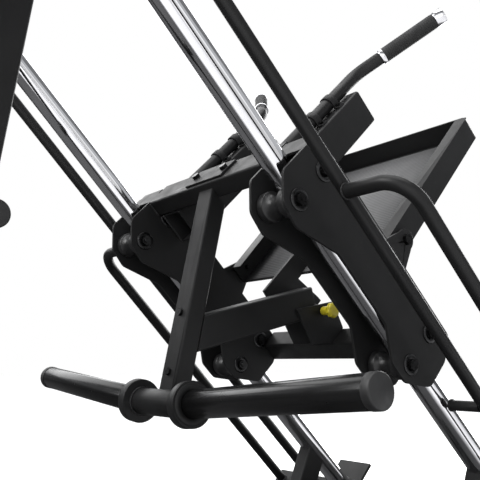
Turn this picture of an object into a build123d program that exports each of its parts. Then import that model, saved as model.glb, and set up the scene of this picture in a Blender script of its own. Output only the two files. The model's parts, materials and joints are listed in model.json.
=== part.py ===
"""Plate-loaded hack squat machine: a 45 degree sled on two chrome rails with a tilting foot plate.

Millimetres, +Z up, origin on the floor at the middle of the footprint.
+X is the low, user end of the rails, -Y the user's left.
Most of the machine is drawn in the rail frame (s, y, n): s runs down the rails,
n stands square to them, pointing up.
"""
from build123d import *
from math import atan2, cos, degrees, pi, radians, sin, sqrt
import os

# ---- driving dimensions -------------------------------------------------
RAIL_ANGLE = 45.0
RAIL_O_X = -66.0          # rail frame origin in the world
RAIL_O_Z = 772.0

RAIL_D = 48.0
RAIL_Y = 253.0
RAIL_N = 8.0
RAIL_S0, RAIL_S1 = -760.0, 690.0

GUARD_D = 24.0            # straight tube outside each rail
GUARD_Y, GUARD_N = 362.0, 6.0
HAND_D = 25.0             # bent hand rail that leaves the guard tube
HAND_Y, HAND_N = 494.0, -4.0
HAND_S0 = -168.0
HAND_BEND_R = 55.0

PLATE_T = 6.0
INNER_Y0, OUTER_Y1 = 208.0, 300.0
PLATE_TOP_N = 90.0
ROLLER_S = (-190.0, 195.0)
ROLLER_WAIST_R = 18.0
ROLLER_FLANGE_R = 27.5
ROLLER_LEN = 72.0
ROLL_GAP = 0.3
AXLE_D = 12.0
PIN_FIT = 0.05            # radial running clearance

UPPER_BEAM = (-247.0, -207.0, 34.0, 104.0)
LOWER_BEAM = (212.0, 262.0, 48.0, 98.0)
TUBE_WALL = 3.0

HUB_S, HUB_N = 0.0, -327.5
HUB_HALF = 78.0
HORN_D, HORN_LEN, HORN_RISE = 50.0, 431.0, 4.9
COLLAR_D, COLLAR_T = 83.0, 20.0
POST_Y, POST_X = 50.0, 40.0

STAY_H, STAY_W = 66.0, 50.0
STAY_RISE = 14.3

ARM_S0, ARM_S1 = -207.0, -131.0
ARM_Y0, ARM_Y1 = 130.0, 192.0
ARM_N1 = 367.0

HANDLE_D, HANDLE_S, HANDLE_Y = 28.0, -222.5, 160.0
HANDLE_N0, HANDLE_BEND_N, HANDLE_END_N = 128.0, 425.0, 588.0
HANDLE_FLARE = 41.0
GRIP_D, GRIP_LEN = 33.0, 128.0
SADDLE_N = (235.0, 305.0)

PIVOT_S, PIVOT_N = 57.0, 174.0
PAN_TILT = 2.3
PAN_HALF_W = 250.0
PAN_D0, PAN_D1 = -29.5, 23.5
PAN_U0, PAN_U1 = -34.0, 404.0
PAN_T = 3.0
PAN_LIP = 32.0
LUG_Y0, LUG_T = 254.0, 8.0

PIN_S, PIN_N, PIN_D = 141.0, 76.0, 10.0
SECTOR_Y0, SECTOR_T = 33.0, 8.0
SECTOR_R = 148.0
SECTOR_S0, SECTOR_S1 = 32.0, 162.0
TILT_UP, TILT_DOWN = 24.0, 3.5

BEAM_W = 60.0             # top and low cross beams, square
TOP_BEAM_N = (-22.0, 38.0)
LOW_BEAM_N = (-32.0, 28.0)
LOW_BEAM_S = RAIL_S1 + 8.0
MAST_W, MAST_D, MAST_LEAN = 75.0, 75.0, 7.8
BASE_H = 60.0
BASE_X0, BASE_X1 = -845.0, 845.0
SPINE_W = 80.0
FOOT_LEN = 760.0
RUBBER_H, RUBBER_D = 10.0, 64.0
FOOT_W = 80.0
REAR_FOOT_X = BASE_X0 + FOOT_W / 2
FRONT_FOOT_X = BASE_X1 - FOOT_W / 2
MID_FOOT_X = 175.0
MID_HALF = RAIL_Y + 40
LEG_S = 545.0             # where the front legs meet the rails
LEG_DEPTH, LEG_W = 60.0, 40.0

STORE_Z, STORE_D, STORE_LEN = 816.0, 40.0, 158.0
STORE_DISC_D, STORE_DISC_T = 76.0, 8.0
PLATFORM_W, PLATFORM_LEN, PLATFORM_SKIRT, PLATFORM_T = 520.0, 385.0, 50.0, 4.0
PLATFORM_RISE = 6.0       # degrees above level
PLATFORM_N = -22.0        # where its face meets the low beam
PLATFORM_POST_BACK = 150.0
CAP_T = 4.0
STOP_S, STOP_D, STOP_WASHER_D = 345.0, 20.0, 24.0
FLANGE_Y0, FLANGE_Y1, FLANGE_N0, FLANGE_N1 = 198.0, 308.0, -40.0, 86.0
FRAME_BOLT_Y, FRAME_BOLT_N = (211.0, 295.0), (-20.0, 16.0)

PLATE_CORNER_R = 20.0
PLATE_OUTLINE = [         # s, n of the side plates: two lobes and a waist
    (-247, PLATE_TOP_N), (-247, -26), (-206, -66), (-160, -72), (-66, -28), (100, -28),
    (158, -68), (207, -68), (264, -24), (264, 42), (242, PLATE_TOP_N),
]
ROLLER_N = (RAIL_N - RAIL_D / 2 - ROLL_GAP - ROLLER_WAIST_R, RAIL_N + RAIL_D / 2 + ROLL_GAP + ROLLER_WAIST_R)
AXLES = [(s, n) for s in ROLLER_S for n in ROLLER_N]

PIN_TIP_Y = SECTOR_Y0 + SECTOR_T + 1
KNOB_Y = -(STAY_W / 2 + PLATE_T + 4)
KNOB_D, KNOB_STEM_D, KNOB_LEN = 34.0, 20.0, 36.0

C = cos(radians(RAIL_ANGLE))
RAIL = Plane(origin=(RAIL_O_X, 0, RAIL_O_Z), x_dir=(C, 0, -C), z_dir=(C, 0, C))
SIDE = Plane(origin=(RAIL_O_X, 0, RAIL_O_Z), x_dir=(C, 0, -C), z_dir=(0, -1, 0))


# ---- helpers ------------------------------------------------------------
def save(shape, name):
    export_step(shape, f"parts/{name}.step")


def mirrored(shape):
    return mirror(shape, about=Plane.XZ)


def pair(shape):
    return Compound(children=[shape, mirrored(shape)])


def world(s, y, n):
    """Rail frame point as a world vector."""
    return Vector(RAIL_O_X + C * (s + n), y, RAIL_O_Z + C * (n - s))


def block(s0, s1, y0, y1, n0, n1):
    """Solid box in the rail frame."""
    box = Box(s1 - s0, y1 - y0, n1 - n0)
    return RAIL * (Pos((s0 + s1) / 2, (y0 + y1) / 2, (n0 + n1) / 2) * box)


def box_tube(a, b, length, wall=TUBE_WALL, corner=5.0):
    """Rectangular tube along Z, a in X and b in Y, starting at Z = 0."""
    outer = RectangleRounded(a, b, corner)
    inner = RectangleRounded(a - 2 * wall, b - 2 * wall, corner - wall + 0.5)
    return extrude(outer - inner, amount=length)


def cross_tube(s0, s1, n0, n1, half, corner=5.0):
    """Rectangular tube across the machine, given by its section in the rail frame."""
    tube = box_tube(s1 - s0, n1 - n0, 2 * half, corner=corner)
    face = Plane(origin=world((s0 + s1) / 2, half, (n0 + n1) / 2), x_dir=(C, 0, -C), z_dir=(0, -1, 0))
    return face * tube


def side_plate(points, y0, y1, corner=0.0, holes=()):
    """Plate in the s-n plane between y0 and y1, with round holes (s, n, d)."""
    shape = make_face(Polyline(*points, close=True))
    if corner:
        shape = fillet(shape.vertices(), corner)
    for s, n, d in holes:
        shape -= Pos(s, n) * Circle(d / 2)
    return SIDE * (Pos(0, 0, -y1) * extrude(shape, amount=y1 - y0))


def rod(p, q, d, bore=0.0):
    """Round bar or tube between two world points."""
    axis = q - p
    bar = Cylinder(d / 2, axis.length, align=(Align.CENTER, Align.CENTER, Align.MIN))
    if bore:
        bar -= Cylinder(bore / 2, axis.length, align=(Align.CENTER, Align.CENTER, Align.MIN))
    return Plane(origin=p, z_dir=axis.normalized()) * bar


def cross_rod(s, n, y0, y1, d, bore=0.0):
    return rod(world(s, y0, n), world(s, y1, n), d, bore)


def hex_bolt(p, direction, shank_d, shank_len, head=9.0):
    """Hex head at p, its shank going along direction."""
    head_face = RegularPolygon(shank_d * 0.92, 6)
    bolt = extrude(head_face, amount=-head) + extrude(Circle(shank_d / 2), amount=shank_len)
    return Plane(origin=p, z_dir=direction) * bolt


def through_bolt(s, n, y_head, y_nut, d):
    """Cross bolt with its head at y_head and its nut at y_nut."""
    way = 1 if y_nut > y_head else -1
    bolt = hex_bolt(world(s, y_head, n), (0, way, 0), d, abs(y_nut - y_head) + 12)
    nut = extrude(RegularPolygon(d * 0.92, 6), amount=9) - extrude(Circle(d / 2), amount=9)
    return bolt, Plane(origin=world(s, y_nut, n), z_dir=(0, way, 0)) * nut


def swept_tube(path, d, bore):
    """Round tube along a path that starts straight."""
    start = Plane(origin=path @ 0, z_dir=path % 0)
    return sweep(start * (Circle(d / 2) - Circle(bore / 2)), path=path)


# ---- fixed frame --------------------------------------------------------
def rail():
    return rod(world(RAIL_S0, RAIL_Y, RAIL_N), world(RAIL_S1, RAIL_Y, RAIL_N), RAIL_D, RAIL_D - 8)


def guard_tube():
    return rod(world(RAIL_S0, GUARD_Y, GUARD_N), world(LOW_BEAM_S, GUARD_Y, GUARD_N), GUARD_D, GUARD_D - 5)


def hand_rail():
    start = world(HAND_S0, GUARD_Y + GUARD_D / 2 - 0.5, HAND_N)
    corner = world(HAND_S0, HAND_Y, HAND_N)
    end = world(LOW_BEAM_S, HAND_Y, HAND_N)
    path = FilletPolyline(start, corner, end, radius=HAND_BEND_R)
    tube = swept_tube(path, HAND_D, HAND_D - 5)
    return tube - rod(world(RAIL_S0, GUARD_Y, GUARD_N), world(RAIL_S1, GUARD_Y, GUARD_N), GUARD_D)


def top_beam():
    return cross_tube(RAIL_S0 - BEAM_W, RAIL_S0, *TOP_BEAM_N, GUARD_Y + 20)


def low_beam():
    beam = cross_tube(LOW_BEAM_S, LOW_BEAM_S + BEAM_W, *LOW_BEAM_N, HAND_Y + 20)
    return beam - frame_bolts()


def rail_bracket():
    """Flange welded on the rail's low end and bolted to the low beam."""
    flange = block(RAIL_S1, LOW_BEAM_S, FLANGE_Y0, FLANGE_Y1, FLANGE_N0, FLANGE_N1)
    return flange - frame_bolts()


def mast_axis_x(z):
    """World X of the mast's axis at height z."""
    top = world(RAIL_S0 - BEAM_W / 2, 0, RAIL_N)
    return top.X - (top.Z - z) * sin(radians(MAST_LEAN)) / cos(radians(MAST_LEAN))


def mast():
    """Leaning post from the rear foot up to the top beam's underside."""
    lean = radians(MAST_LEAN)
    foot_z = RUBBER_H + BASE_H
    axis = Vector(sin(lean), 0, cos(lean))
    start = Vector(mast_axis_x(foot_z), 0, foot_z) - axis * 20
    face = Plane(origin=start, x_dir=(cos(lean), 0, -sin(lean)), z_dir=axis)
    tube = face * box_tube(MAST_D, MAST_W, 1500)
    above = block(RAIL_S0 - 500, RAIL_S0 + 500, -60, 60, TOP_BEAM_N[0], 900)
    below = Pos(start.X, 0, foot_z - 100) * Box(400, 200, 200)
    return tube - above - below


def storage_horn():
    x = mast_axis_x(STORE_Z)
    y0 = MAST_W / 2
    peg = rod(Vector(x, y0, STORE_Z), Vector(x, y0 + STORE_LEN, STORE_Z), STORE_D)
    disc = rod(Vector(x, y0, STORE_Z), Vector(x, y0 + STORE_DISC_T, STORE_Z), STORE_DISC_D)
    return peg + disc


def floor_tube_x(x0, x1, w):
    tube = Plane(origin=(x0, 0, RUBBER_H + BASE_H / 2), x_dir=(0, 1, 0), z_dir=(1, 0, 0))
    return tube * box_tube(w, BASE_H, x1 - x0)


def floor_tube_y(x, half, w=80.0):
    tube = Plane(origin=(x, half, RUBBER_H + BASE_H / 2), x_dir=(1, 0, 0), z_dir=(0, -1, 0))
    return tube * box_tube(w, BASE_H, 2 * half)


def spine():
    return floor_tube_x(REAR_FOOT_X + FOOT_W / 2, FRONT_FOOT_X - FOOT_W / 2, SPINE_W)


def mid_foot():
    """Cross tube under the rails' legs, in two halves welded to the spine."""
    whole = floor_tube_y(MID_FOOT_X, MID_HALF)
    return whole - Pos(MID_FOOT_X, 0, RUBBER_H + BASE_H / 2) * Box(FOOT_W + 20, SPINE_W, BASE_H + 20)


def front_leg():
    """Leg from the rail's underside down to the middle foot."""
    top = world(LEG_S, RAIL_Y, RAIL_N)
    foot = Vector(MID_FOOT_X, RAIL_Y, RUBBER_H + BASE_H)
    axis = (top - foot).normalized()
    face = Plane(origin=foot - axis * 60, x_dir=(axis.Z, 0, -axis.X), z_dir=axis)
    tube = face * box_tube(LEG_DEPTH, LEG_W, (top - foot).length + 60)
    floor_cut = Pos(foot.X, RAIL_Y, foot.Z - 100) * Box(400, 200, 200)
    rail_cut = rod(world(RAIL_S0, RAIL_Y, RAIL_N), world(RAIL_S1, RAIL_Y, RAIL_N), RAIL_D)
    above = block(LEG_S - 200, LEG_S + 200, RAIL_Y - 60, RAIL_Y + 60, RAIL_N, RAIL_N + 200)
    return (tube - floor_cut - rail_cut - above).solids().sort_by(SortBy.VOLUME)[-1]


def platform_plane():
    """Foot platform's face: starts on the low beam's outer side, x going away from it."""
    rise = radians(PLATFORM_RISE)
    edge = world(LOW_BEAM_S + BEAM_W, 0, PLATFORM_N)
    return Plane(origin=edge, x_dir=(cos(rise), 0, sin(rise)), z_dir=(-sin(rise), 0, cos(rise)))


def tread_platform():
    """Folded tread plate with a skirt on its four sides, its near skirt against the low beam."""
    t, edge = PLATFORM_T, (Align.MIN, Align.CENTER, Align.MAX)
    plate = Box(PLATFORM_LEN, PLATFORM_W, PLATFORM_SKIRT, align=edge)
    plate = fillet(plate.edges().filter_by(Axis.Z).sort_by(Axis.X)[-2:], 14)
    hollow = Box(PLATFORM_LEN - 2 * t, PLATFORM_W - 2 * t, PLATFORM_SKIRT, align=edge)
    return platform_plane() * (plate - Pos(t, 0, -t) * hollow)


def platform_post():
    """Post from the front of the spine up to the platform's underside."""
    x = FRONT_FOOT_X - PLATFORM_POST_BACK
    tube = Plane(origin=(x, 0, RUBBER_H + BASE_H)) * box_tube(BEAM_W, BEAM_W, 700)
    above = Box(1600, 900, 900, align=(Align.CENTER, Align.CENTER, Align.MIN))
    return tube - platform_plane() * (Pos(0, 0, -PLATFORM_T) * above)


def rubber_feet():
    """Round rubber feet under the ends of the cross feet."""
    feet = []
    for x, half in ((REAR_FOOT_X, FOOT_LEN / 2), (MID_FOOT_X, MID_HALF), (FRONT_FOOT_X, FOOT_LEN / 2)):
        for side in (-1, 1):
            foot = Cylinder(RUBBER_D / 2, RUBBER_H, align=(Align.CENTER, Align.CENTER, Align.MIN))
            feet.append(Pos(x, side * (half - 45), 0) * foot)
    return Compound(children=feet)


def tube_caps():
    """Plastic caps in the open ends of the floor tubes and cross beams."""
    caps = []
    floor_z = RUBBER_H + BASE_H / 2
    for x, half in ((REAR_FOOT_X, FOOT_LEN / 2), (MID_FOOT_X, MID_HALF), (FRONT_FOOT_X, FOOT_LEN / 2)):
        cap = extrude(RectangleRounded(FOOT_W, BASE_H, 5), amount=CAP_T)
        caps.append(Plane(origin=(x, half, floor_z), x_dir=(1, 0, 0), z_dir=(0, 1, 0)) * cap)
    top_n = (TOP_BEAM_N[0] + TOP_BEAM_N[1]) / 2
    low_n = (LOW_BEAM_N[0] + LOW_BEAM_N[1]) / 2
    beams = ((RAIL_S0 - BEAM_W / 2, top_n, GUARD_Y + 20), (LOW_BEAM_S + BEAM_W / 2, low_n, HAND_Y + 20))
    for s, n, half in beams:
        cap = extrude(RectangleRounded(BEAM_W, BEAM_W, 5), amount=CAP_T)
        caps.append(Plane(origin=world(s, half, n), x_dir=(C, 0, -C), z_dir=(0, 1, 0)) * cap)
    return Compound(children=caps + [mirrored(c) for c in caps])


def stop_peg():
    """Stop that the sled's outer plate comes down on, carried by the guard tube."""
    peg = cross_rod(STOP_S, GUARD_N, OUTER_Y1 - 10, GUARD_Y - GUARD_D / 2, STOP_D)
    washer = cross_rod(STOP_S, GUARD_N, OUTER_Y1 - 14, OUTER_Y1 - 10, STOP_WASHER_D)
    return peg + washer


def frame_bolts():
    """Bolts through the rail flanges into the low beam."""
    bolts = []
    for y in FRAME_BOLT_Y:
        for n in FRAME_BOLT_N:
            bolts.append(hex_bolt(world(RAIL_S1, y, n), (C, 0, -C), 10, 14, head=7))
    return Compound(children=bolts + [mirrored(b) for b in bolts])


# ---- sled ---------------------------------------------------------------
def outer_plate():
    holes = [(s, n, AXLE_D) for s, n in AXLES]
    return side_plate(PLATE_OUTLINE, OUTER_Y1 - PLATE_T, OUTER_Y1, PLATE_CORNER_R, holes)


def inner_plate():
    holes = [(s, n, AXLE_D) for s, n in AXLES]
    return side_plate(PLATE_OUTLINE, INNER_Y0, INNER_Y0 + PLATE_T, PLATE_CORNER_R, holes)


def side_cover():
    """Bent cover that closes the side box on top and at its upper end."""
    y0, y1 = INNER_Y0 + PLATE_T, OUTER_Y1 - PLATE_T
    roof = block(-247, 230, y0, y1, PLATE_TOP_N - 5, PLATE_TOP_N)
    end = block(-247, -242, y0, y1, 38, PLATE_TOP_N)
    return roof + end


def pivot_lug():
    """Upright ear with a round head at the foot plate's pivot."""
    y1 = LUG_Y0 + LUG_T
    foot = side_plate([(5, PLATE_TOP_N), (110, PLATE_TOP_N), (PIVOT_S + 22, PIVOT_N), (PIVOT_S - 22, PIVOT_N)],
                      LUG_Y0, y1)
    head = cross_rod(PIVOT_S, PIVOT_N, LUG_Y0, y1, 44)
    return foot + head - cross_rod(PIVOT_S, PIVOT_N, LUG_Y0 - 1, y1 + 1, AXLE_D)


def upper_beam():
    return cross_tube(*UPPER_BEAM, INNER_Y0) - sled_bolts()


def lower_beam():
    return cross_tube(*LOWER_BEAM, INNER_Y0)


def post_axis():
    """Front edge of the post: foot point, head point, unit direction and unit depth."""
    foot = world(-8.4, 0, -316.9)
    head = world(-233, 0, UPPER_BEAM[2])
    axis = (head - foot).normalized()
    return foot, head, axis, Vector(axis.Z, 0, -axis.X)


def centre_post():
    foot, head, axis, depth = post_axis()
    start = foot - axis * 40 + depth * (POST_X / 2)
    face = Plane(origin=start, x_dir=depth, z_dir=axis)
    tube = face * box_tube(POST_X, POST_Y, (head - foot).length + 120)
    above = block(-400, 0, -60, 60, UPPER_BEAM[2], 300)
    hub = cross_rod(HUB_S, HUB_N, -HUB_HALF, HUB_HALF, HORN_D)
    low_end = Box(300, 200, 200, align=(Align.CENTER, Align.CENTER, Align.MAX))
    below = Plane(origin=world(HUB_S, 0, HUB_N), z_dir=axis) * low_end
    return tube - above - hub - below - sled_bolts()


def post_flange():
    """Plate bolted on the upper beam's face over the post's head."""
    s = UPPER_BEAM[0]
    return block(s - 5, s, -62, 62, UPPER_BEAM[2] + 6, UPPER_BEAM[3] - 8) - sled_bolts()


def stay_beam():
    """Beam from the post toward the lower cross beam, square to the post."""
    foot, head, axis, depth = post_axis()
    rise = radians(STAY_RISE)
    way = Vector(cos(rise), 0, sin(rise))
    up = Vector(-sin(rise), 0, cos(rise))
    hub = world(HUB_S, 0, HUB_N)
    top_point = hub + Vector(82, 0, 167)
    start = top_point - up * (STAY_H / 2) - way * 60
    end = way.dot(world(PIN_S, 0, PIN_N) - start) - 10
    face = Plane(origin=start, x_dir=up, z_dir=way)
    tube = face * box_tube(STAY_H, STAY_W, end)
    post_face = Plane(origin=foot + depth * POST_X, x_dir=axis, z_dir=depth)
    behind = post_face * Box(1400, 300, 400, align=(Align.CENTER, Align.CENTER, Align.MAX))
    return tube - behind


def stay_brackets():
    """Two plates that tie the stay beam's end to the lower cross beam."""
    outline = [(88, 24), (150, 118), (LOWER_BEAM[0], 98), (LOWER_BEAM[0], 50), (172, 4)]
    bore = [(PIN_S, PIN_N, PIN_D + 2 * PIN_FIT)]
    plate = side_plate(outline, STAY_W / 2, STAY_W / 2 + PLATE_T, 0, bore)
    return pair(plate)


def horn_axis():
    rise = radians(HORN_RISE)
    return Vector(0, cos(rise), sin(rise))


def horn_hub():
    return cross_rod(HUB_S, HUB_N, -HUB_HALF, HUB_HALF, HORN_D)


def horn_collar():
    a = horn_axis()
    p = world(HUB_S, HUB_HALF, HUB_N)
    disc = rod(p, p + a * COLLAR_T, COLLAR_D)
    return disc - Pos(0, -200 + HUB_HALF, 0) * Box(4000, 400, 4000)


def horn():
    a = horn_axis()
    p = world(HUB_S, HUB_HALF, HUB_N)
    bar = rod(p + a * COLLAR_T, p + a * (COLLAR_T + HORN_LEN), HORN_D)
    return chamfer(bar.edges().sort_by(Axis.Y)[-1], 3)


def arm():
    """Box tube that stands on the sled, closed by its own top."""
    w, d = ARM_Y1 - ARM_Y0, ARM_S1 - ARM_S0
    outer = Box(d, w, ARM_N1 - 34, align=(Align.CENTER, Align.CENTER, Align.MIN))
    outer = fillet(outer.edges().filter_by(Axis.Z), 6)
    outer = fillet(outer.faces().sort_by(Axis.Z)[-1].edges(), 4)
    inner = Box(d - 6, w - 6, ARM_N1 - 34 - 4, align=(Align.CENTER, Align.CENTER, Align.MIN))
    place = Pos((ARM_S0 + ARM_S1) / 2, (ARM_Y0 + ARM_Y1) / 2, 34)
    return RAIL * (place * (outer - inner)) - sled_bolts()


def handle_points():
    """Foot, bend and end of the handle tube's axis."""
    flare = radians(HANDLE_FLARE)
    rise = HANDLE_END_N - HANDLE_BEND_N
    foot = world(HANDLE_S, HANDLE_Y, HANDLE_N0)
    bend = world(HANDLE_S, HANDLE_Y, HANDLE_BEND_N)
    end = world(HANDLE_S, HANDLE_Y + rise * sin(flare) / cos(flare), HANDLE_END_N)
    return foot, bend, end


def handle():
    foot, bend, end = handle_points()
    path = FilletPolyline(foot, bend, end, radius=70)
    return swept_tube(path, HANDLE_D, HANDLE_D - 5)


def grip():
    foot, bend, end = handle_points()
    back = (bend - end).normalized()
    return rod(end + back * 16, end + back * (16 + GRIP_LEN), GRIP_D, HANDLE_D)


def handle_trim():
    """Chrome collar and end cap of each grip."""
    foot, bend, end = handle_points()
    back = (bend - end).normalized()
    tip = rod(end - back * 6, end, GRIP_D + 1)
    sleeve = rod(end, end + back * 16, GRIP_D + 1, HANDLE_D)
    lower = end + back * (16 + GRIP_LEN)
    collar = rod(lower, lower + back * 9, GRIP_D + 3, HANDLE_D)
    parts = [tip + sleeve, collar]
    return Compound(children=parts + [mirrored(p) for p in parts])


def saddle_strap(n):
    """Half-round strap over the handle tube, with an ear on each side on the arm's face."""
    r0, r1 = HANDLE_D / 2, HANDLE_D / 2 + 3
    ring = rod(world(HANDLE_S, HANDLE_Y, n - 9), world(HANDLE_S, HANDLE_Y, n + 9), 2 * r1)
    legs = block(HANDLE_S, ARM_S0, HANDLE_Y - r1, HANDLE_Y + r1, n - 9, n + 9)
    ears = block(ARM_S0 - 4, ARM_S0, ARM_Y0 + 2, ARM_Y1 - 4, n - 9, n + 9)
    tube = rod(world(HANDLE_S, HANDLE_Y, n - 10), world(HANDLE_S, HANDLE_Y, n + 10), HANDLE_D)
    mouth = block(HANDLE_S, ARM_S0 + 20, HANDLE_Y - r0, HANDLE_Y + r0, n - 10, n + 10)
    inside_arm = block(ARM_S0, ARM_S0 + 30, HANDLE_Y - 40, HANDLE_Y + 40, n - 10, n + 10)
    return ring + legs + ears - tube - mouth - inside_arm


def saddle_clamps():
    """Straps that hold each handle on its arm."""
    straps = [saddle_strap(n) - sled_bolts() for n in SADDLE_N]
    return Compound(children=straps + [mirrored(p) for p in straps])


def sled_bolts():
    """Small bolts: straps, post flange and the foot plate's pivots."""
    bolts = []
    for n in SADDLE_N:
        for y in (HANDLE_Y - 23, HANDLE_Y + 23):
            bolts.append(hex_bolt(world(ARM_S0 - 4, y, n), (C, 0, -C), 6, 6, head=5))
    bolts += [mirrored(b) for b in bolts]
    for y in (-48, 48):
        bolts.append(hex_bolt(world(UPPER_BEAM[0] - 5, y, 69), (C, 0, -C), 10, 7, head=7))
    foot, head, axis, depth = post_axis()
    for up in (45, 160):
        bolts.append(hex_bolt(foot + axis * up, depth, 8, 4, head=5))
    for side in (-1, 1):
        p = world(PIVOT_S, side * (LUG_Y0 + LUG_T), PIVOT_N)
        bolts.append(hex_bolt(p, (0, -side, 0), AXLE_D, LUG_Y0 + LUG_T - PAN_HALF_W + 12, head=8))
    return Compound(children=bolts)


def axle_bolts():
    """Roller axles with their nuts, through both side plates."""
    parts = []
    for s, n in AXLES:
        parts += through_bolt(s, n, OUTER_Y1, INNER_Y0, AXLE_D)
    return Compound(children=parts + [mirrored(p) for p in parts])


# ---- rollers ------------------------------------------------------------
def roller(s, n, side):
    """Waisted roller whose groove follows the rail's round."""
    centre = ROLLER_WAIST_R + ROLL_GAP + RAIL_D / 2
    groove_r = RAIL_D / 2 + ROLL_GAP
    section = Pos(0, ROLLER_FLANGE_R / 2) * Rectangle(ROLLER_LEN, ROLLER_FLANGE_R)
    section = chamfer(section.vertices().group_by(Axis.Y)[-1], 4)
    section -= Pos(0, centre) * Circle(groove_r)
    section -= Rectangle(ROLLER_LEN + 2, AXLE_D + 2 * PIN_FIT)
    body = revolve(section, axis=Axis.X)
    turn = Plane(origin=world(s, side * RAIL_Y, n), x_dir=(0, 1, 0), z_dir=(C, 0, C))
    return turn * body


# ---- foot plate ---------------------------------------------------------
def pan_plane():
    tilt = radians(RAIL_ANGLE - PAN_TILT)
    up = Vector(sin(tilt), 0, cos(tilt))
    out = Vector(cos(tilt), 0, -sin(tilt))
    return Plane(origin=world(PIVOT_S, 0, PIVOT_N), x_dir=out, z_dir=up)


def pan_box(d0, d1, y0, y1, u0, u1):
    box = Box(d1 - d0, y1 - y0, u1 - u0)
    return Pos((d0 + d1) / 2, (y0 + y1) / 2, (u0 + u1) / 2) * box


def foot_pan():
    """Folded pan: face sheet, side and top flanges, and return lips."""
    w, t = PAN_HALF_W, PAN_T
    pan = pan_box(PAN_D0, PAN_D1, -w, w, PAN_U0, PAN_U1)
    pan = fillet(pan.edges().filter_by(Axis.X).sort_by(Axis.Z)[-2:], 18)
    pan -= pan_box(PAN_D0 - 1, PAN_D1 - t, -w + t, w - t, PAN_U0 - 1, PAN_U1 - t)
    for side in (-1, 1):
        inner = side * (w - PAN_LIP)
        outer = side * (w - t)
        pan += pan_box(PAN_D0, PAN_D0 + t, min(inner, outer), max(inner, outer), PAN_U0, PAN_U1 - t)
    bore = Cylinder(AXLE_D / 2 + PIN_FIT, 2 * w + 40)
    return pan_plane() * (pan - Rot(90, 0, 0) * bore)


def foot_tread():
    """Tread plate on the pan's face."""
    w = PAN_HALF_W - 14
    tread = pan_box(PAN_D1, PAN_D1 + 4, -w, w, PAN_U0 + 10, PAN_U1 - 14)
    tread = fillet(tread.edges().filter_by(Axis.X), 12)
    return pan_plane() * tread


def sector():
    """Tilt plate under the pan, with a slot round the pivot for the pull pin."""
    reach = sqrt((PIN_S - PIVOT_S) ** 2 + (PIN_N - PIVOT_N) ** 2)
    at = degrees(atan2(PIN_S - PIVOT_S, PIVOT_N - PIN_N))
    disc = Circle(SECTOR_R)
    window = Pos((SECTOR_S0 + SECTOR_S1) / 2 - PIVOT_S, -100) * Rectangle(SECTOR_S1 - SECTOR_S0, 190)
    shape = disc & window
    corner = make_face(Polyline((23, -5), (140, -5), (140, -30), (93, -34), (23, -50), close=True))
    shape -= corner
    first, last = at - TILT_UP - 1.5, at + TILT_DOWN + 1.5
    slot_w = PIN_D + 1.0
    arc_pts = [Vector(reach * sin(radians(a)), -reach * cos(radians(a))) for a in (first, (first + last) / 2, last)]
    slot = SlotArc(ThreePointArc(*arc_pts), slot_w)
    shape -= slot
    face = Plane(origin=world(PIVOT_S, SECTOR_Y0 + SECTOR_T, PIVOT_N), x_dir=(C, 0, -C), z_dir=(0, -1, 0))
    plate = face * extrude(shape, amount=SECTOR_T)
    pan_hull = pan_plane() * pan_box(PAN_D1 - PAN_T, PAN_D1 + 10, -PAN_HALF_W, PAN_HALF_W, PAN_U0, PAN_U1)
    return (plate - pan_hull).solids().sort_by(SortBy.VOLUME)[-1]


# ---- pull pin -----------------------------------------------------------
def pull_pin():
    return cross_rod(PIN_S, PIN_N, KNOB_Y - 30, PIN_TIP_Y, PIN_D)


def pin_knob():
    """Waisted pull knob."""
    stem = cross_rod(PIN_S, PIN_N, KNOB_Y - 22, KNOB_Y, KNOB_STEM_D, PIN_D)
    head = cross_rod(PIN_S, PIN_N, KNOB_Y - KNOB_LEN, KNOB_Y - 20, KNOB_D)
    head = fillet(head.edges(), 5)
    return stem + head - cross_rod(PIN_S, PIN_N, KNOB_Y - 30, KNOB_Y + 1, PIN_D)


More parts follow.
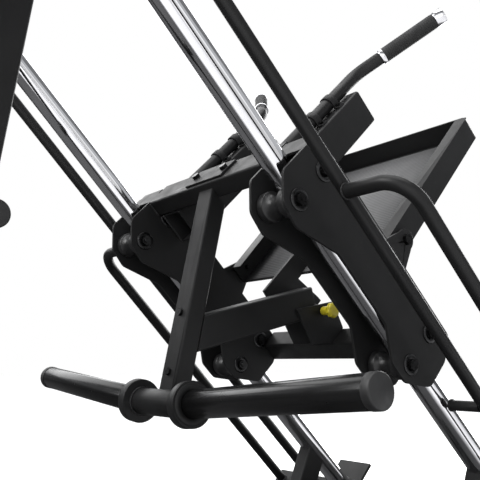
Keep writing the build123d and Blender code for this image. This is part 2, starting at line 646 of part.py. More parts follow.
def main():
    os.makedirs("parts", exist_ok=True)
    for name, shape in (("rail", rail()), ("guard_tube", guard_tube()), ("hand_rail", hand_rail()),
                        ("outer_plate", outer_plate()),
                        ("inner_plate", inner_plate()), ("horn", horn()), ("arm", arm()),
                        ("handle", handle())):
        save(mirrored(shape), name + "_l")
        save(shape, name + "_r")
    save(top_beam(), "top_beam")
    save(low_beam(), "low_beam")
    save(pair(rail_bracket()), "rail_brackets")
    save(pair(front_leg()), "front_legs")
    save(mast(), "mast")
    save(pair(storage_horn()), "storage_horns")
    save(spine(), "base_spine")
    save(floor_tube_y(REAR_FOOT_X, FOOT_LEN / 2), "rear_foot")
    save(floor_tube_y(FRONT_FOOT_X, FOOT_LEN / 2), "front_foot")
    save(mid_foot(), "middle_foot")
    save(tread_platform(), "tread_platform")
    save(platform_post(), "platform_post")
    save(rubber_feet(), "rubber_feet")
    save(tube_caps(), "tube_caps")
    save(pair(stop_peg()), "stop_pegs")
    save(frame_bolts(), "frame_bolts")
    save(pair(side_cover()), "side_covers")
    save(pair(pivot_lug()), "pivot_lugs")
    save(upper_beam(), "upper_beam")
    save(lower_beam(), "lower_beam")
    save(centre_post(), "centre_post")
    save(post_flange(), "post_flange")
    save(stay_beam(), "stay_beam")
    save(stay_brackets(), "stay_brackets")
    save(horn_hub(), "horn_hub")
    save(pair(horn_collar()), "horn_collars")
    save(pair(grip()), "grips")
    save(handle_trim(), "handle_trim")
    save(saddle_clamps(), "saddle_clamps")
    save(sled_bolts(), "sled_bolts")
    save(axle_bolts(), "axle_bolts")
    for side, tag in ((-1, "l"), (1, "r")):
        for s, end in zip(ROLLER_S, ("up", "low")):
            for n, deck in zip(ROLLER_N, ("under", "over")):
                save(roller(s, n, side), f"roller_{end}_{deck}_{tag}")
    save(foot_pan(), "foot_pan")
    save(foot_tread(), "foot_tread")
    save(sector(), "tilt_sector")
    save(pull_pin(), "pull_pin")
    save(pin_knob(), "pin_knob")


main()
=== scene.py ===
import json
import math

import bpy
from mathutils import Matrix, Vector

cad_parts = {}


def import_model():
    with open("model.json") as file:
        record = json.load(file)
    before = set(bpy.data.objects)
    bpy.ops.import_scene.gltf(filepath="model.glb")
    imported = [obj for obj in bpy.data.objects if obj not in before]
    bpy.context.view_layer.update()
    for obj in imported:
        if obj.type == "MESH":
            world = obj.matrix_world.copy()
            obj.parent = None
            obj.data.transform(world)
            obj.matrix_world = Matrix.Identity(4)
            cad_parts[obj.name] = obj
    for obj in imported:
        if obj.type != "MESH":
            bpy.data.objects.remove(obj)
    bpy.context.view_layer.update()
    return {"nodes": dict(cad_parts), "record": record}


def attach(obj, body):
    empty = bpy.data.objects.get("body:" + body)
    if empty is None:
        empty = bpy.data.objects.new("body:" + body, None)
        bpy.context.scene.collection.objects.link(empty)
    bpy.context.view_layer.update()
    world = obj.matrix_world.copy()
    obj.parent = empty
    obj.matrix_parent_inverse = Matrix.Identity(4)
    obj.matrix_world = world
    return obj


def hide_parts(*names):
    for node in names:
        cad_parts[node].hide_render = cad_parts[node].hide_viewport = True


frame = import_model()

MM = 0.001

# ---- the CAD's driving dimensions that the details follow, in millimetres ---------------
RAIL_O = (-66.0, 772.0)          # rail frame origin, world X and Z
C = math.cos(math.radians(45.0))
RAIL_Y, RAIL_N, RAIL_D = 253.0, 8.0, 48.0
RAIL_S0, RAIL_S1 = -760.0, 690.0
GUARD_Y, GUARD_N, GUARD_D = 362.0, 6.0, 24.0
HAND_Y, HAND_N, HAND_D, HAND_S0 = 494.0, -4.0, 25.0, -168.0
LOW_BEAM_S, LOW_BEAM_W, TOP_BEAM_HALF = 698.0, 60.0, 30.0
HUB_N, HUB_R, HUB_HALF = -327.5, 25.0, 78.0
COLLAR_T, HORN_LEN, HORN_RISE, HORN_R = 20.0, 431.0, math.radians(4.9), 25.0
PLATE_Y_OUT, PLATE_Y_IN = 300.0, 208.0
ROLLERS = {"up": -190.0, "low": 195.0}
DECKS = {"under": -34.3, "over": 50.3}
ROLLER_HALF, AXLE_R = 36.0, 6.0
UPPER_BEAM = (-247.0, -207.0, 34.0, 104.0)
ARM_Y = (130.0, 192.0)
ARM_S = (-207.0, -131.0)
HANDLE_S, HANDLE_Y, HANDLE_R = -222.5, 160.0, 14.0
HANDLE_BEND_N, HANDLE_END_N = 425.0, 588.0
HANDLE_FLARE = math.radians(41.0)
GRIP_R, GRIP_LEN, GRIP_CAP = 16.5, 128.0, 16.0
PIVOT_S, PIVOT_N = 57.0, 174.0
PAN_LEAN = math.radians(42.7)
PAN_HALF_W, PAN_D1, PAN_U0, PAN_U1 = 250.0, 23.5, -34.0, 404.0
PAN_SHEET_D = PAN_D1 - 3.0
TREAD_T = 4.0
PLATFORM_W, PLATFORM_LEN, PLATFORM_N = 520.0, 385.0, -22.0
PLATFORM_RISE = math.radians(6.0)
PIN_S, PIN_N = 141.0, 76.0
KNOB_Y, KNOB_LEN, KNOB_R = -35.0, 36.0, 17.0
BASE_TOP, SPINE_HALF = 70.0, 40.0
MAST_LEAN, MAST_HALF = math.radians(7.8), 37.5
STORE_Z, STORE_DISC_R, STORE_TIP_Y, STORE_R = 816.0, 38.0, 195.5, 20.0
FOOT_X = 765.0                   # the spine's ends, at both cross feet
POST_X, POST_HALF = 655.0, 30.0
LEG_X, LEG_HALF_X, LEG_HALF_Y = 175.0, 33.1, 20.0

SIDES = {"l": -1, "r": 1}


# ---- places ------------------------------------------------------------------------------
def world(s, y, n):
    """A rail frame point in world metres."""
    return Vector((RAIL_O[0] + C * (s + n), y, RAIL_O[1] + C * (n - s))) * MM


def pan_point(d, y, u):
    """A foot pan point in world metres: d out of its face, u up the pan from the pivot."""
    out = Vector((math.cos(PAN_LEAN), 0, -math.sin(PAN_LEAN)))
    up = Vector((math.sin(PAN_LEAN), 0, math.cos(PAN_LEAN)))
    return world(PIVOT_S, 0, PIVOT_N) + (out * d + up * u + Vector((0, y, 0))) * MM


def platform_point(d, y, u):
    """A fixed platform point in world metres: d off its face, u up it from the low beam."""
    along = Vector((math.cos(PLATFORM_RISE), 0, math.sin(PLATFORM_RISE)))
    out = Vector((-math.sin(PLATFORM_RISE), 0, math.cos(PLATFORM_RISE)))
    return world(LOW_BEAM_S + LOW_BEAM_W, 0, PLATFORM_N) + (out * d + along * u + Vector((0, y, 0))) * MM


def horn_point(side, along):
    """A point on a plate horn's axis, along millimetres from the hub's end."""
    axis = Vector((0, side * math.cos(HORN_RISE), math.sin(HORN_RISE)))
    return world(0, side * HUB_HALF, HUB_N) + axis * along * MM, axis


def mast_x(z):
    """World X in millimetres of the mast's axis at height z."""
    head = world(RAIL_S0 - TOP_BEAM_HALF, 0, RAIL_N) / MM
    return head.x - (head.z - z) * math.tan(MAST_LEAN)


def basis(axis):
    """Two unit vectors square to axis."""
    axis = axis.normalized()
    helper = Vector((0, 0, 1)) if abs(axis.z) < 0.9 else Vector((1, 0, 0))
    a = axis.cross(helper).normalized()
    return a, axis.cross(a)


# ---- shader nodes ------------------------------------------------------------------------
def grey(v):
    return (v, v, v * 1.02, 1.0)


class Shader:
    """A Principled material with procedural inputs in the piece's own coordinates."""

    def __init__(self, name, metallic=0.0, coat=0.0, coat_rough=0.1, specular=0.5):
        self.mat = bpy.data.materials.new(name)
        self.mat.use_nodes = True
        self.tree = self.mat.node_tree
        self.tree.nodes.clear()
        out = self.add("ShaderNodeOutputMaterial")
        self.bsdf = self.add("ShaderNodeBsdfPrincipled")
        self.link(self.bsdf.outputs[0], out.inputs[0])
        self.bsdf.inputs["Metallic"].default_value = metallic
        self.bsdf.inputs["Coat Weight"].default_value = coat
        self.bsdf.inputs["Coat Roughness"].default_value = coat_rough
        self.bsdf.inputs["Specular IOR Level"].default_value = specular
        self.coord = self.add("ShaderNodeTexCoord").outputs["Object"]
        self.height = None

    def add(self, kind):
        return self.tree.nodes.new(kind)

    def link(self, a, b):
        self.tree.links.new(a, b)

    def stretched(self, scale, turn=(0, 0, 0)):
        """The coordinates turned, then scaled, for grain that runs one way."""
        node = self.add("ShaderNodeMapping")
        node.vector_type = "TEXTURE"
        node.inputs["Rotation"].default_value = turn
        node.inputs["Scale"].default_value = [1 / v for v in scale]
        self.link(self.coord, node.inputs["Vector"])
        return node.outputs[0]

    def noise(self, scale, detail=3.0, rough=0.55, coord=None):
        node = self.add("ShaderNodeTexNoise")
        node.inputs["Scale"].default_value = scale
        node.inputs["Detail"].default_value = detail
        node.inputs["Roughness"].default_value = rough
        self.link(coord or self.coord, node.inputs["Vector"])
        return node.outputs["Fac"]

    def cells(self, scale):
        node = self.add("ShaderNodeTexVoronoi")
        node.inputs["Scale"].default_value = scale
        self.link(self.coord, node.inputs["Vector"])
        return node.outputs["Distance"]

    def remap(self, value, low, high, to_low, to_high):
        node = self.add("ShaderNodeMapRange")
        for key, v in zip(("From Min", "From Max", "To Min", "To Max"), (low, high, to_low, to_high)):
            node.inputs[key].default_value = v
        self.link(value, node.inputs["Value"])
        return node.outputs["Result"]

    def maths(self, how, a, b):
        node = self.add("ShaderNodeMath")
        node.operation = how
        for socket, v in zip(node.inputs, (a, b)):
            if isinstance(v, (int, float)):
                socket.default_value = v
            else:
                self.link(v, socket)
        return node.outputs[0]

    def colour(self, factor, low, high):
        node = self.add("ShaderNodeMix")
        node.data_type = "RGBA"
        self.link(factor, node.inputs["Factor"])
        for socket, v in zip((node.inputs[6], node.inputs[7]), (low, high)):
            if isinstance(v, tuple):
                socket.default_value = v
            else:
                self.link(v, socket)
        return node.outputs[2]

    def bump(self, value, strength, distance):
        node = self.add("ShaderNodeBump")
        node.inputs["Strength"].default_value = strength
        node.inputs["Distance"].default_value = distance
        self.link(value, node.inputs["Height"])
        if self.height:
            self.link(self.height, node.inputs["Normal"])
        self.height = node.outputs[0]
        self.link(self.height, self.bsdf.inputs["Normal"])

    def base(self, value):
        self.link(value, self.bsdf.inputs["Base Color"])

    def rough(self, value):
        self.link(value, self.bsdf.inputs["Roughness"])


def powder_coat(name, dark, light, rough=(0.4, 0.56), texture=1.0, coat=0.0, wear=1.0):
    """Satin powder coat: fine orange peel, slow tone shifts, rubbed patches and a few scuffs."""
    m = Shader(name, coat=coat, coat_rough=0.12, specular=0.22)
    slow = m.remap(m.noise(4.0, 4), 0.35, 0.68, 0.0, 1.0)
    paint = m.colour(slow, grey(dark), grey(light))
    scuffs = m.noise(1.0, 5, 0.7, m.stretched((260, 45, 60), (0.3, 0.6, 0.2)))
    scuff_mask = m.remap(scuffs, 0.69, 0.76, 0.0, 0.5 * wear)
    dust = m.remap(m.noise(38.0, 6, 0.65), 0.62, 0.8, 0.0, 0.3 * wear)
    paint = m.colour(dust, paint, grey(light * 2.2))
    m.base(m.colour(scuff_mask, paint, grey(light * 3.2)))
    satin = m.remap(m.noise(22.0, 4), 0.3, 0.7, *rough)
    m.rough(m.maths("ADD", satin, m.maths("MULTIPLY", scuff_mask, 0.15)))
    m.bump(m.noise(520.0, 2), 0.16 * texture, 0.0006)
    m.bump(m.noise(55.0, 2), 0.05 * texture, 0.001)
    return m.mat


def chrome(name, tone, rough, along=(12, 500, 500)):
    """Hard chrome with faint polishing lines and smeared, slightly dull patches."""
    m = Shader(name, metallic=1.0)
    m.base(m.colour(m.remap(m.noise(9.0, 5), 0.4, 0.7, 0.0, 1.0), grey(tone), grey(tone * 0.9)))
    grain = m.noise(1.0, 2, 0.5, m.stretched(along, (0, math.radians(45), 0)))
    smear = m.remap(m.noise(14.0, 5, 0.7), 0.45, 0.72, 0.0, 0.06)
    m.rough(m.maths("ADD", m.remap(grain, 0.3, 0.7, rough * 0.8, rough * 1.25), smear))
    m.bump(m.noise(350.0, 2), 0.02, 0.0001)
    return m.mat


def steel(name, tone, rough):
    """Zinc plated or ground steel: cloudy tone, fine grain and darker, dirty spots."""
    m = Shader(name, metallic=1.0)
    spots = m.remap(m.noise(160.0, 4, 0.7), 0.58, 0.72, 0.0, 0.7)
    m.base(m.colour(spots, m.colour(m.noise(50.0, 3), grey(tone), grey(tone * 0.7)), grey(tone * 0.3)))
    m.rough(m.remap(m.noise(240.0, 3), 0.3, 0.7, rough * 0.8, rough * 1.3))
    m.bump(m.noise(900.0, 2), 0.1, 0.0003)
    return m.mat


def polymer(name, dark, light, rough, grain=700.0, depth=0.2, specular=0.4):
    """Moulded rubber or plastic with a fine grain and rubbed, greyer patches."""
    m = Shader(name, specular=specular)
    rubbed = m.remap(m.noise(30.0, 5, 0.65), 0.45, 0.72, 0.0, 1.0)
    m.base(m.colour(rubbed, grey(dark), grey(light)))
    m.rough(m.remap(m.noise(45.0, 4), 0.3, 0.7, rough - 0.08, rough + 0.08))
    m.bump(m.cells(grain), depth, 0.0004)
    m.bump(m.noise(90.0, 3), 0.08, 0.0008)
    return m.mat


def yellow_plastic(name):
    m = Shader(name, coat=0.25, coat_rough=0.15)
    tone = m.remap(m.noise(60.0, 4), 0.35, 0.7, 0.0, 1.0)
    clean = m.colour(tone, (0.66, 0.56, 0.03, 1), (0.56, 0.46, 0.025, 1))
    dirt = m.remap(m.noise(120.0, 6, 0.7), 0.6, 0.78, 0.0, 0.6)
    m.base(m.colour(dirt, clean, (0.16, 0.11, 0.02, 1)))
    m.rough(m.remap(m.noise(80.0, 3), 0.3, 0.7, 0.25, 0.42))
    m.bump(m.noise(600.0, 2), 0.08, 0.0003)
    return m.mat


MATS = {
    "frame_paint": powder_coat("frame_paint", 0.009, 0.014),
    "sled_paint": powder_coat("sled_paint", 0.01, 0.016),
    "tube_paint": powder_coat("tube_paint", 0.009, 0.013, (0.36, 0.48), 0.35),
    "platform_paint": powder_coat("platform_paint", 0.02, 0.032, (0.45, 0.6)),
    "pan_sheet": powder_coat("pan_sheet", 0.011, 0.017, (0.34, 0.46)),
    "tread_sheet": powder_coat("tread_sheet", 0.035, 0.055, (0.4, 0.55), 1.2),
    "horn_gloss": powder_coat("horn_gloss", 0.005, 0.008, (0.2, 0.28), 0.12, coat=0.15, wear=0.4),
    "rail_chrome": chrome("rail_chrome", 0.8, 0.06),
    "bright_trim": chrome("bright_trim", 0.75, 0.12, (300, 300, 300)),
    "bolt_steel": steel("bolt_steel", 0.05, 0.3),
    "pin_steel": steel("pin_steel", 0.5, 0.25),
    "foot_rubber": polymer("foot_rubber", 0.012, 0.03, 0.78),
    "grip_rubber": polymer("grip_rubber", 0.01, 0.022, 0.66, 900.0),
    "cap_plastic": polymer("cap_plastic", 0.014, 0.026, 0.5, 1100.0, 0.12),
    "roller_nylon": polymer("roller_nylon", 0.009, 0.016, 0.38, 500.0, 0.1),
    "knob_yellow": yellow_plastic("knob_yellow"),
}
# Painted light: the pan's rib sheet is the same black paint as the pan, made about eight times lighter to
# stand in for the light and sheen it catches from above.
PAINTED_LIGHT_RIB_MAT = powder_coat("painted_light_pan_rib_sheet", 0.1, 0.13, (0.36, 0.5), 0.5)
WELD_MAT = powder_coat("weld_paint", 0.014, 0.026, (0.3, 0.46), 1.6)
SHIELD_MAT = steel("bearing_shield", 0.32, 0.3)


# ---- mesh building -----------------------------------------------------------------------
def piece(name, verts, faces, body, slot, mat=None, smooth=True):
    """A mesh piece that rides on a CAD body and takes a record slot's finish."""
    mesh = bpy.data.meshes.new(name)
    mesh.from_pydata([tuple(v) for v in verts], [], faces)
    mesh.validate()
    mesh.polygons.foreach_set("use_smooth", [smooth] * len(mesh.polygons))
    mesh.materials.append(mat or MATS[slot])
    obj = bpy.data.objects.new(name, mesh)
    bpy.context.scene.collection.objects.link(obj)
    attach(obj, body)
    return obj


def ring_faces(rows, count, closed_rows=False):
    """Quads between successive rings of count points."""
    faces = []
    last = rows if closed_rows else rows - 1
    for i in range(last):
        j = (i + 1) % rows
        for k in range(count):
            m = (k + 1) % count
            faces.append((i * count + k, i * count + m, j * count + m, j * count + k))
    return faces


def lathed(origin, axis, profile, count=48, flute=None):
    """A closed turned mesh: profile is (along, radius) in millimetres, a loop round the section."""
    a, b = basis(axis)
    axis = axis.normalized()
    verts = []
    for along, radius in profile:
        for k in range(count):
            t = 2 * math.pi * k / count
            r = radius * (flute(along, t) if flute else 1.0)
            verts.append(origin + (axis * along + (a * math.cos(t) + b * math.sin(t)) * r) * MM)
    return verts, ring_faces(len(profile), count, closed_rows=True)


def solid_lathed(origin, axis, profile, count=48, flute=None):
    """A turned mesh closed by flat discs at both ends of its profile."""
    verts, faces = lathed(origin, axis, profile, count, flute)
    faces = faces[:(len(profile) - 1) * count]
    faces.append(tuple(reversed(range(count))))
    first = (len(profile) - 1) * count
    faces.append(tuple(range(first, first + count)))
    return verts, faces


def merged(chunks):
    """Several (verts, faces) meshes as one."""
    verts, faces = [], []
    for v, f in chunks:
        base = len(verts)
        verts += list(v)
        faces += [tuple(i + base for i in face) for face in f]
    return verts, faces


def bead(points, radius=2.2, step=1.6, closed=False):
    """A weld bead along a path of world points: a tube whose radius ripples like laid puddles."""
    path = []
    pts = list(points) + ([points[0]] if closed else [])
    for p, q in zip(pts, pts[1:]):
        count = max(2, int((q - p).length / (step * MM)))
        path += [p.lerp(q, i / count) for i in range(count)]
    if not closed:
        path.append(pts[-1])
    verts, around = [], 7
    for i, p in enumerate(path):
        ahead = path[(i + 1) % len(path)] if closed or i + 1 < len(path) else p
        behind = path[i - 1] if closed or i else p
        a, b = basis(ahead - behind)
        ripple = radius * (1 + 0.16 * math.sin(i * 1.57) + 0.07 * math.sin(i * 0.37 + 1))
        if not closed and i in (0, len(path) - 1):
            ripple *= 0.35
        for k in range(around):
            t = 2 * math.pi * k / around
            verts.append(p + (a * math.cos(t) + b * math.sin(t)) * ripple * MM)
    faces = ring_faces(len(path), around, closed)
    if not closed:
        faces.append(tuple(reversed(range(around))))
        faces.append(tuple(range(len(verts) - around, len(verts))))
    return verts, faces


def circle(centre, axis, radius, count=40):
    a, b = basis(axis)
    angles = [2 * math.pi * k / count for k in range(count)]
    return [centre + (a * math.cos(t) + b * math.sin(t)) * radius * MM for t in angles]


def ring_bead(centre, axis, radius, size=2.2):
    return bead(circle(centre, axis, radius), size, closed=True)


def floor_loop(x, half_x, y, half_y, z=BASE_TOP):
    """The four corners of an upright tube's foot on a floor tube."""
    corners = ((-1, -1), (1, -1), (1, 1), (-1, 1))
    return [Vector((x + a * half_x, y + b * half_y, z)) * MM for a, b in corners]


BAR_LEN, BAR_WIDTH, BAR_HIGH, BAR_PITCH = 9.5, 2.9, 1.6, 18.72


def lozenges(point, half_w, u0, u1, face_d):
    """Raised tread bars in two alternating directions on a plate's face."""
    count = 12
    chunks, row, u = [], 0, u0
    while u < u1:
        y, column = -half_w, 0
        while y <= half_w:
            turn = math.radians(45 if (row + column) % 2 else -45)
            verts = []
            for scale, lift in ((1.0, -0.3), (0.82, BAR_HIGH * 0.8), (0.5, BAR_HIGH)):
                for k in range(count):
                    t = 2 * math.pi * k / count
                    a, b = BAR_LEN * scale * math.cos(t), BAR_WIDTH * scale * math.sin(t)
                    dy = a * math.cos(turn) - b * math.sin(turn)
                    du = a * math.sin(turn) + b * math.cos(turn)
                    verts.append(point(face_d + lift, y + dy, u + du))
            faces = ring_faces(3, count)
            faces += [tuple(reversed(range(count))), tuple(range(2 * count, 3 * count))]
            chunks.append((verts, faces))
            y += BAR_PITCH
            column += 1
        u += BAR_PITCH
        row += 1
    return merged(chunks)


# ---- CAD nodes: materials and rounded edges ----------------------------------------------
SHARP = {"rail_l", "rail_r", "rubber_feet", "handle_l", "handle_r", "grips"}
EDGE_ROUND, EDGE_ANGLE, WELD_GAP = 0.0009, math.radians(38), 0.00002


def finish_cad_nodes():
    """Give each CAD node its slot's material and, unless it is in SHARP, softened edges."""
    slot_of = {s["node"]: s["material_slot"] for s in frame["record"]["subparts"]}
    for name, obj in frame["nodes"].items():
        obj.data.materials.clear()
        obj.data.materials.append(MATS[slot_of[name]])
        if name not in SHARP:
            joined = obj.modifiers.new("weld_edges", "WELD")
            joined.merge_threshold = WELD_GAP
            rounded = obj.modifiers.new("edge_round", "BEVEL")
            rounded.width = EDGE_ROUND
            rounded.segments = 2
            rounded.limit_method = "ANGLE"
            rounded.angle_limit = EDGE_ANGLE
            rounded.harden_normals = True


# ---- sled details ------------------------------------------------------------------------
GRIP_RIB, GRIP_RIB_DEPTH, GRIP_RIB_STEPS = 5.0, 0.22, 6


def grip_profile():
    """A ribbed sleeve's section loop: outer ribs, then the bore back to the start."""
    outer, bore = [], HANDLE_R + 0.1
    for i in range(int(GRIP_LEN / GRIP_RIB * GRIP_RIB_STEPS) + 1):
        along = i * GRIP_RIB / GRIP_RIB_STEPS
        outer.append((along, GRIP_R - 0.3 + GRIP_RIB_DEPTH * math.cos(2 * math.pi * along / GRIP_RIB)))
    return outer + [(GRIP_LEN, bore), (0.0, bore)]


def handle_end(side):
    """The handle's tip and the direction from it back down the grip."""
    rise = HANDLE_END_N - HANDLE_BEND_N
    bend = world(HANDLE_S, side * HANDLE_Y, HANDLE_BEND_N)
    tip = world(HANDLE_S, side * (HANDLE_Y + rise * math.tan(HANDLE_FLARE)), HANDLE_END_N)
    return tip, (bend - tip).normalized()


def grip_sleeves():
    """The ribbed rubber sleeves on both handles."""
    chunks = []
    for side in SIDES.values():
        tip, back = handle_end(side)
        chunks.append(lathed(tip + back * GRIP_CAP * MM, back, grip_profile(), 40))
    grips = piece("grip_sleeves", *merged(chunks), "sled", "grip_rubber")
    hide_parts("grips")


def horn_ends():
    """A plastic cap over each horn's end, and the rolled lip of the collar at its root."""
    cap = [(-15, HORN_R), (-14.4, HORN_R + 0.8), (-2.5, HORN_R + 0.8), (-0.6, HORN_R + 0.2),
           (0.8, HORN_R - 1.4), (1.0, 0.4)]
    lip = [(-1.0, 36.0), (0.0, 37.5), (1.2, 36.8), (1.4, 30.0),
           (0.6, HORN_R + 1.2), (0.0, HORN_R), (-1.0, HORN_R)]
    for tag, side in SIDES.items():
        end, axis = horn_point(side, COLLAR_T + HORN_LEN)
        piece(f"horn_cap_{tag}", *solid_lathed(end, axis, cap), "sled", "cap_plastic")
        start, axis = horn_point(side, COLLAR_T)
        piece(f"collar_face_{tag}", *lathed(start, axis, lip), "sled", "sled_paint")


WASHER_R, WASHER_T = 20.0, 2.4


def washer(centre, axis):
    """A flat washer round an axle bolt, standing out along axis."""
    loop = [(0, AXLE_R), (0, WASHER_R), (WASHER_T * 0.6, WASHER_R),
            (WASHER_T, WASHER_R - 0.8), (WASHER_T, AXLE_R)]
    return lathed(centre, axis, loop, 32)


def axle_washers():
    """A washer on the outer and the inner side plate at each of the eight axles."""
    chunks = []
    for side in SIDES.values():
        for s in ROLLERS.values():
            for n in DECKS.values():
                chunks.append(washer(world(s, side * PLATE_Y_OUT, n), Vector((0, side, 0))))
                chunks.append(washer(world(s, side * PLATE_Y_IN, n), Vector((0, -side, 0))))
    piece("axle_washers", *merged(chunks), "sled", "bolt_steel")


def bearing_shields(tag, end, deck):
    """The pressed shields on both faces of one roller. They turn with it."""
    chunks = []
    loop = [(-0.5, 7.0), (-0.5, 17.0), (0.9, 17.0), (1.1, 16.0),
            (0.7, 15.2), (0.7, 10.0), (1.1, 9.2), (1.1, 7.0)]
    for way in (-1, 1):
        face = world(ROLLERS[end], SIDES[tag] * RAIL_Y + way * ROLLER_HALF, DECKS[deck])
        chunks.append(lathed(face, Vector((0, way, 0)), loop, 36))
    place = f"{end}_{deck}_{tag}"
    piece(f"bearing_{place}", *merged(chunks), f"wheel_{place}", "bolt_steel", SHIELD_MAT)


KNOB_NECK, KNOB_FLUTES = 18.0, 9


def flutes(along, t):
    """Finger scallops round the pull knob's head."""
    return 1.0 - (0.07 * (0.5 + 0.5 * math.cos(KNOB_FLUTES * t)) if along > KNOB_NECK else 0.0)


def pull_knob():
    """The yellow knob: a waisted neck and a fluted head with a dished end."""
    neck = [(0, 9.0), (1, 10.0), (9, 9.4), (14, 8.6), (KNOB_NECK, 9.5)]
    head = [(21, 13.5), (23, KNOB_R - 1.2), (26, KNOB_R), (32, KNOB_R), (34.6, KNOB_R - 1.6),
            (KNOB_LEN, KNOB_R - 5), (KNOB_LEN - 0.4, 6.0), (KNOB_LEN, 0.5)]
    mesh = solid_lathed(world(PIN_S, KNOB_Y, PIN_N), Vector((0, -1, 0)), neck + head, 72, flutes)
    knob = piece("pull_knob", *mesh, "pin", "knob_yellow")
    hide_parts("pin_knob")


# ---- foot pan and platform ---------------------------------------------------------------
RIB_PITCH, RIB_HIGH, RIB_STEPS = 7.0, 0.9, 6
RIB_START_U, RIB_END_GAP = 4, 16


def painted_light_pan_rib_sheet():
    """A thin sheet with shallow cross ribs, lying on the back of the pan's face, painted a lighter grey that
    stands in for the light and sheen falling on it.
    """
    half = PAN_HALF_W - 6
    rows = int((PAN_U1 - PAN_U0 - RIB_END_GAP) / RIB_PITCH * RIB_STEPS)
    verts = []
    for i in range(rows + 1):
        u = PAN_U0 + RIB_START_U + i * RIB_PITCH / RIB_STEPS
        proud = 1.0 + RIB_HIGH * (0.5 + 0.5 * math.cos(2 * math.pi * i / RIB_STEPS))
        back, front = PAN_SHEET_D - proud, PAN_SHEET_D - 0.1
        verts += [pan_point(d, y, u) for d, y in ((back, -half), (back, half), (front, half), (front, -half))]
    faces = ring_faces(rows + 1, 4)
    faces += [(3, 2, 1, 0), tuple(4 * rows + k for k in range(4))]
    piece("painted_light_pan_rib_sheet", verts, faces, "foot_plate", "pan_sheet", PAINTED_LIGHT_RIB_MAT)


def tread_bars():
    """Raised bars on the foot plate's tread and on the fixed platform."""
    foot = lozenges(pan_point, PAN_HALF_W - 30, PAN_U0 + 26, PAN_U1 - 28, PAN_D1 + TREAD_T)
    piece("foot_tread_bars", *foot, "foot_plate", "tread_sheet")
    platform = lozenges(platform_point, PLATFORM_W / 2 - 22, 20, PLATFORM_LEN - 20, 0.0)
    piece("platform_tread_bars", *platform, "frame", "platform_paint")


# ---- weld beads --------------------------------------------------------------------------
RAIL_WAY = Vector((C, 0, -C))
ACROSS = Vector((0, 1, 0))
LUG_S, LUG_Y, LUG_T, LUG_FOOT_N = (8, 107), 254, 8.4, 90.4


def sled_weld_beads():
    """Beads round the horn hub, at the arms, at the upper beam's ends and at the pivot lugs' feet."""
    welds = []
    for side in SIDES.values():
        welds.append(ring_bead(world(0, side * (HUB_HALF - 0.4), HUB_N), ACROSS, HUB_R + 0.9, 2.4))
        arm_foot = [world(ARM_S[0], side * y, UPPER_BEAM[3]) for y in ARM_Y]
        arm_side = [world(s, side * ARM_Y[1], UPPER_BEAM[2]) for s in ARM_S]
        beam_s = (UPPER_BEAM[0] + 3, UPPER_BEAM[1] - 3)
        beam_end = [world(s, side * (PLATE_Y_IN - 0.6), UPPER_BEAM[2]) for s in beam_s]
        welds += [bead(path, 2.4) for path in (arm_foot, arm_side, beam_end)]
        lug_outer = [world(s, side * LUG_Y, LUG_FOOT_N) for s in LUG_S]
        lug_inner = [p + Vector((0, side * LUG_T * MM, 0)) for p in lug_outer]
        welds += [bead(path, 2.2) for path in (lug_outer, lug_inner)]
    piece("sled_weld_beads", *merged(welds), "sled", "sled_paint", WELD_MAT)


def frame_weld_beads():
    """Beads where the frame's tubes meet each other."""
    welds = []
    for side in SIDES.values():
        for s in (RAIL_S0 + 0.6, RAIL_S1 - 0.6):
            welds.append(ring_bead(world(s, side * RAIL_Y, RAIL_N), RAIL_WAY, RAIL_D / 2 + 0.8, 2.6))
        for s in (RAIL_S0 + 0.6, LOW_BEAM_S - 0.6):
            welds.append(ring_bead(world(s, side * GUARD_Y, GUARD_N), RAIL_WAY, GUARD_D / 2 + 0.7, 2.0))
        hand_low = world(LOW_BEAM_S - 0.6, side * HAND_Y, HAND_N)
        hand_top = world(HAND_S0, side * (GUARD_Y + GUARD_D / 2 - 1), HAND_N)
        peg_root = Vector((mast_x(STORE_Z), side * (MAST_HALF + 0.6), STORE_Z)) * MM
        welds.append(ring_bead(hand_low, RAIL_WAY, HAND_D / 2 + 0.7, 2.0))
        welds.append(ring_bead(hand_top, ACROSS, HAND_D / 2 + 0.4, 2.0))
        welds.append(ring_bead(peg_root, ACROSS, STORE_DISC_R + 0.4, 2.2))
        welds.append(bead(floor_loop(LEG_X, LEG_HALF_X, side * RAIL_Y, LEG_HALF_Y), 2.5, closed=True))
        seam = [Vector((side * FOOT_X, y, BASE_TOP)) * MM for y in (-SPINE_HALF + 4, SPINE_HALF - 4)]
        welds.append(bead(seam, 2.6))
    mast_foot = floor_loop(mast_x(BASE_TOP), MAST_HALF / math.cos(MAST_LEAN), 0, MAST_HALF)
    welds.append(bead(mast_foot, 2.8, closed=True))
    welds.append(bead(floor_loop(POST_X, POST_HALF, 0, POST_HALF), 2.5, closed=True))
    piece("frame_weld_beads", *merged(welds), "frame", "frame_paint", WELD_MAT)


# ---- storage peg ends --------------------------------------------------------------------
def storage_caps():
    """A plastic cap over each storage peg's end."""
    cap = [(-12, STORE_R), (-11.5, STORE_R + 0.7), (-2, STORE_R + 0.7), (0.2, STORE_R - 0.6),
           (0.8, STORE_R - 3), (1.0, 0.4)]
    for tag, side in SIDES.items():
        tip = Vector((mast_x(STORE_Z), side * STORE_TIP_Y, STORE_Z)) * MM
        piece(f"storage_cap_{tag}", *solid_lathed(tip, Vector((0, side, 0)), cap, 40), "frame", "cap_plastic")


# ---- floor, light and camera -------------------------------------------------------------
FLOOR_HALF = 30.0                # metres
FLOOR_PALE = ((0.9, 0.9, 0.9, 1), (0.94, 0.94, 0.94, 1))
FLOOR_BOUNCE, FLOOR_NEAR_BOUNCE, FLOOR_LIFT = 0.06, 0.55, 0.3
FLOOR_NEAR = (-0.95, -0.6)       # across this band of Y the floor's bounce turns from bright to dim

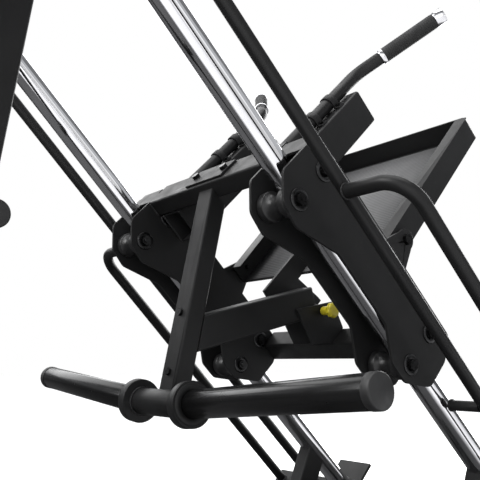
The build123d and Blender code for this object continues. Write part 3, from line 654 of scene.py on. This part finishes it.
MIDDLE = (0, 0, 0.8)             # what the area lights point at
LIGHTS = (                       # name, place, size and power
    ("far_softbox", (0.6, 3.4, 3.4), (5.5, 3.5), 140),
    ("key_rear_left", (-3.4, 0.6, 3.2), (2.6, 2.6), 190),
    ("user_side", (3.2, 1.2, 1.8), (2.2, 2.6), 90),
    ("near_fill", (0.6, -3.6, 1.6), (3.0, 2.0), 12),
    ("rear_near_softbox", (-3.2, -3.4, 1.5), (4.5, 2.8), 60),
)
OVERHEAD_STRENGTH, OVERHEAD_ANGLE = 1.8, math.radians(50)

# The sky's strength on the machine, as stops of the upward part of its direction.
SKY_BANDS = ((0.0, 0.1), (0.22, 0.12), (0.3, 0.55), (0.55, 0.6), (0.62, 0.2), (1.0, 0.3))

CAMERA_PLACE = (-0.998, -1.134, 0.615)
CAMERA_TURN = (math.radians(90 + 9.96), 0, math.radians(-37.84))
CAMERA_LENS, CAMERA_SENSOR = 52.2, 36.0


def floor():
    """A pale floor that throws little light back up at the machine, except from the near side."""
    mesh = bpy.data.meshes.new("studio_floor")
    h = FLOOR_HALF
    mesh.from_pydata([(-h, -h, 0), (h, -h, 0), (h, h, 0), (-h, h, 0)], [], [(0, 1, 2, 3)])
    m = Shader("studio_floor", specular=0.0)
    seen = m.add("ShaderNodeLightPath").outputs["Is Camera Ray"]
    pale = m.colour(m.noise(0.6, 3), *FLOOR_PALE)
    place = m.add("ShaderNodeSeparateXYZ")
    m.link(m.coord, place.inputs[0])
    near = m.remap(place.outputs["Y"], *FLOOR_NEAR, 1.0, 0.0)
    m.base(m.colour(seen, m.colour(near, grey(FLOOR_BOUNCE), grey(FLOOR_NEAR_BOUNCE)), pale))
    m.bsdf.inputs["Roughness"].default_value = 0.85
    m.bsdf.inputs["Emission Color"].default_value = (1, 1, 1, 1)
    lift = m.maths("MULTIPLY", m.maths("MAXIMUM", seen, near), FLOOR_LIFT)
    m.link(lift, m.bsdf.inputs["Emission Strength"])
    mesh.materials.append(m.mat)
    obj = bpy.data.objects.new("studio_floor", mesh)
    bpy.context.scene.collection.objects.link(obj)


def sky():
    """White behind the machine, and a much dimmer, even light on it."""
    world_data = bpy.data.worlds.new("studio")
    world_data.use_nodes = True
    bpy.context.scene.world = world_data
    tree = world_data.node_tree
    tree.nodes.clear()
    out = tree.nodes.new("ShaderNodeOutputWorld")
    mix = tree.nodes.new("ShaderNodeMixShader")
    seen = tree.nodes.new("ShaderNodeBackground")
    lit = tree.nodes.new("ShaderNodeBackground")
    seen.inputs[0].default_value = (1, 1, 1, 1)
    lit.inputs[0].default_value = (0.95, 0.97, 1.0, 1)
    place = tree.nodes.new("ShaderNodeTexCoord")
    split = tree.nodes.new("ShaderNodeSeparateXYZ")
    ramp = tree.nodes.new("ShaderNodeValToRGB")
    for i, (at, level) in enumerate(SKY_BANDS):
        stop = ramp.color_ramp.elements[i] if i < 2 else ramp.color_ramp.elements.new(at)
        stop.position, stop.color = at, (level, level, level, 1)
    tree.links.new(place.outputs["Generated"], split.inputs[0])
    tree.links.new(split.outputs["Z"], ramp.inputs[0])
    tree.links.new(ramp.outputs[0], lit.inputs["Strength"])
    rays = tree.nodes.new("ShaderNodeLightPath")
    tree.links.new(rays.outputs["Is Camera Ray"], mix.inputs[0])
    tree.links.new(lit.outputs[0], mix.inputs[1])
    tree.links.new(seen.outputs[0], mix.inputs[2])
    tree.links.new(mix.outputs[0], out.inputs[0])


def area(name, place, size, power):
    """A rectangular softbox at place that points at the machine's middle."""
    data = bpy.data.lights.new(name, "AREA")
    data.shape = "RECTANGLE"
    data.size, data.size_y = size
    data.energy = power
    obj = bpy.data.objects.new(name, data)
    obj.location = place
    obj.rotation_euler = (Vector(MIDDLE) - Vector(place)).to_track_quat("-Z", "Y").to_euler()
    bpy.context.scene.collection.objects.link(obj)


def overhead():
    """A broad light straight down that keeps the floor evenly pale."""
    data = bpy.data.lights.new("overhead", "SUN")
    data.energy = OVERHEAD_STRENGTH
    data.angle = OVERHEAD_ANGLE
    obj = bpy.data.objects.new("overhead", data)
    obj.location = (0, 0, 6)
    bpy.context.scene.collection.objects.link(obj)


def camera():
    data = bpy.data.cameras.new("camera")
    data.lens, data.sensor_width = CAMERA_LENS, CAMERA_SENSOR
    data.clip_start, data.clip_end = 0.02, 100.0
    obj = bpy.data.objects.new("camera", data)
    obj.location = CAMERA_PLACE
    obj.rotation_euler = CAMERA_TURN
    bpy.context.scene.collection.objects.link(obj)
    bpy.context.scene.camera = obj


# ---- the model, then the studio ----------------------------------------------------------
finish_cad_nodes()
grip_sleeves()
horn_ends()
axle_washers()
for side_tag in SIDES:
    for roller_end in ROLLERS:
        for roller_deck in DECKS:
            bearing_shields(side_tag, roller_end, roller_deck)
pull_knob()
painted_light_pan_rib_sheet()
tread_bars()
sled_weld_beads()
frame_weld_beads()
storage_caps()

floor()
sky()
for light in LIGHTS:
    area(*light)
overhead()
camera()
bpy.context.scene.view_settings.view_transform = "Standard"
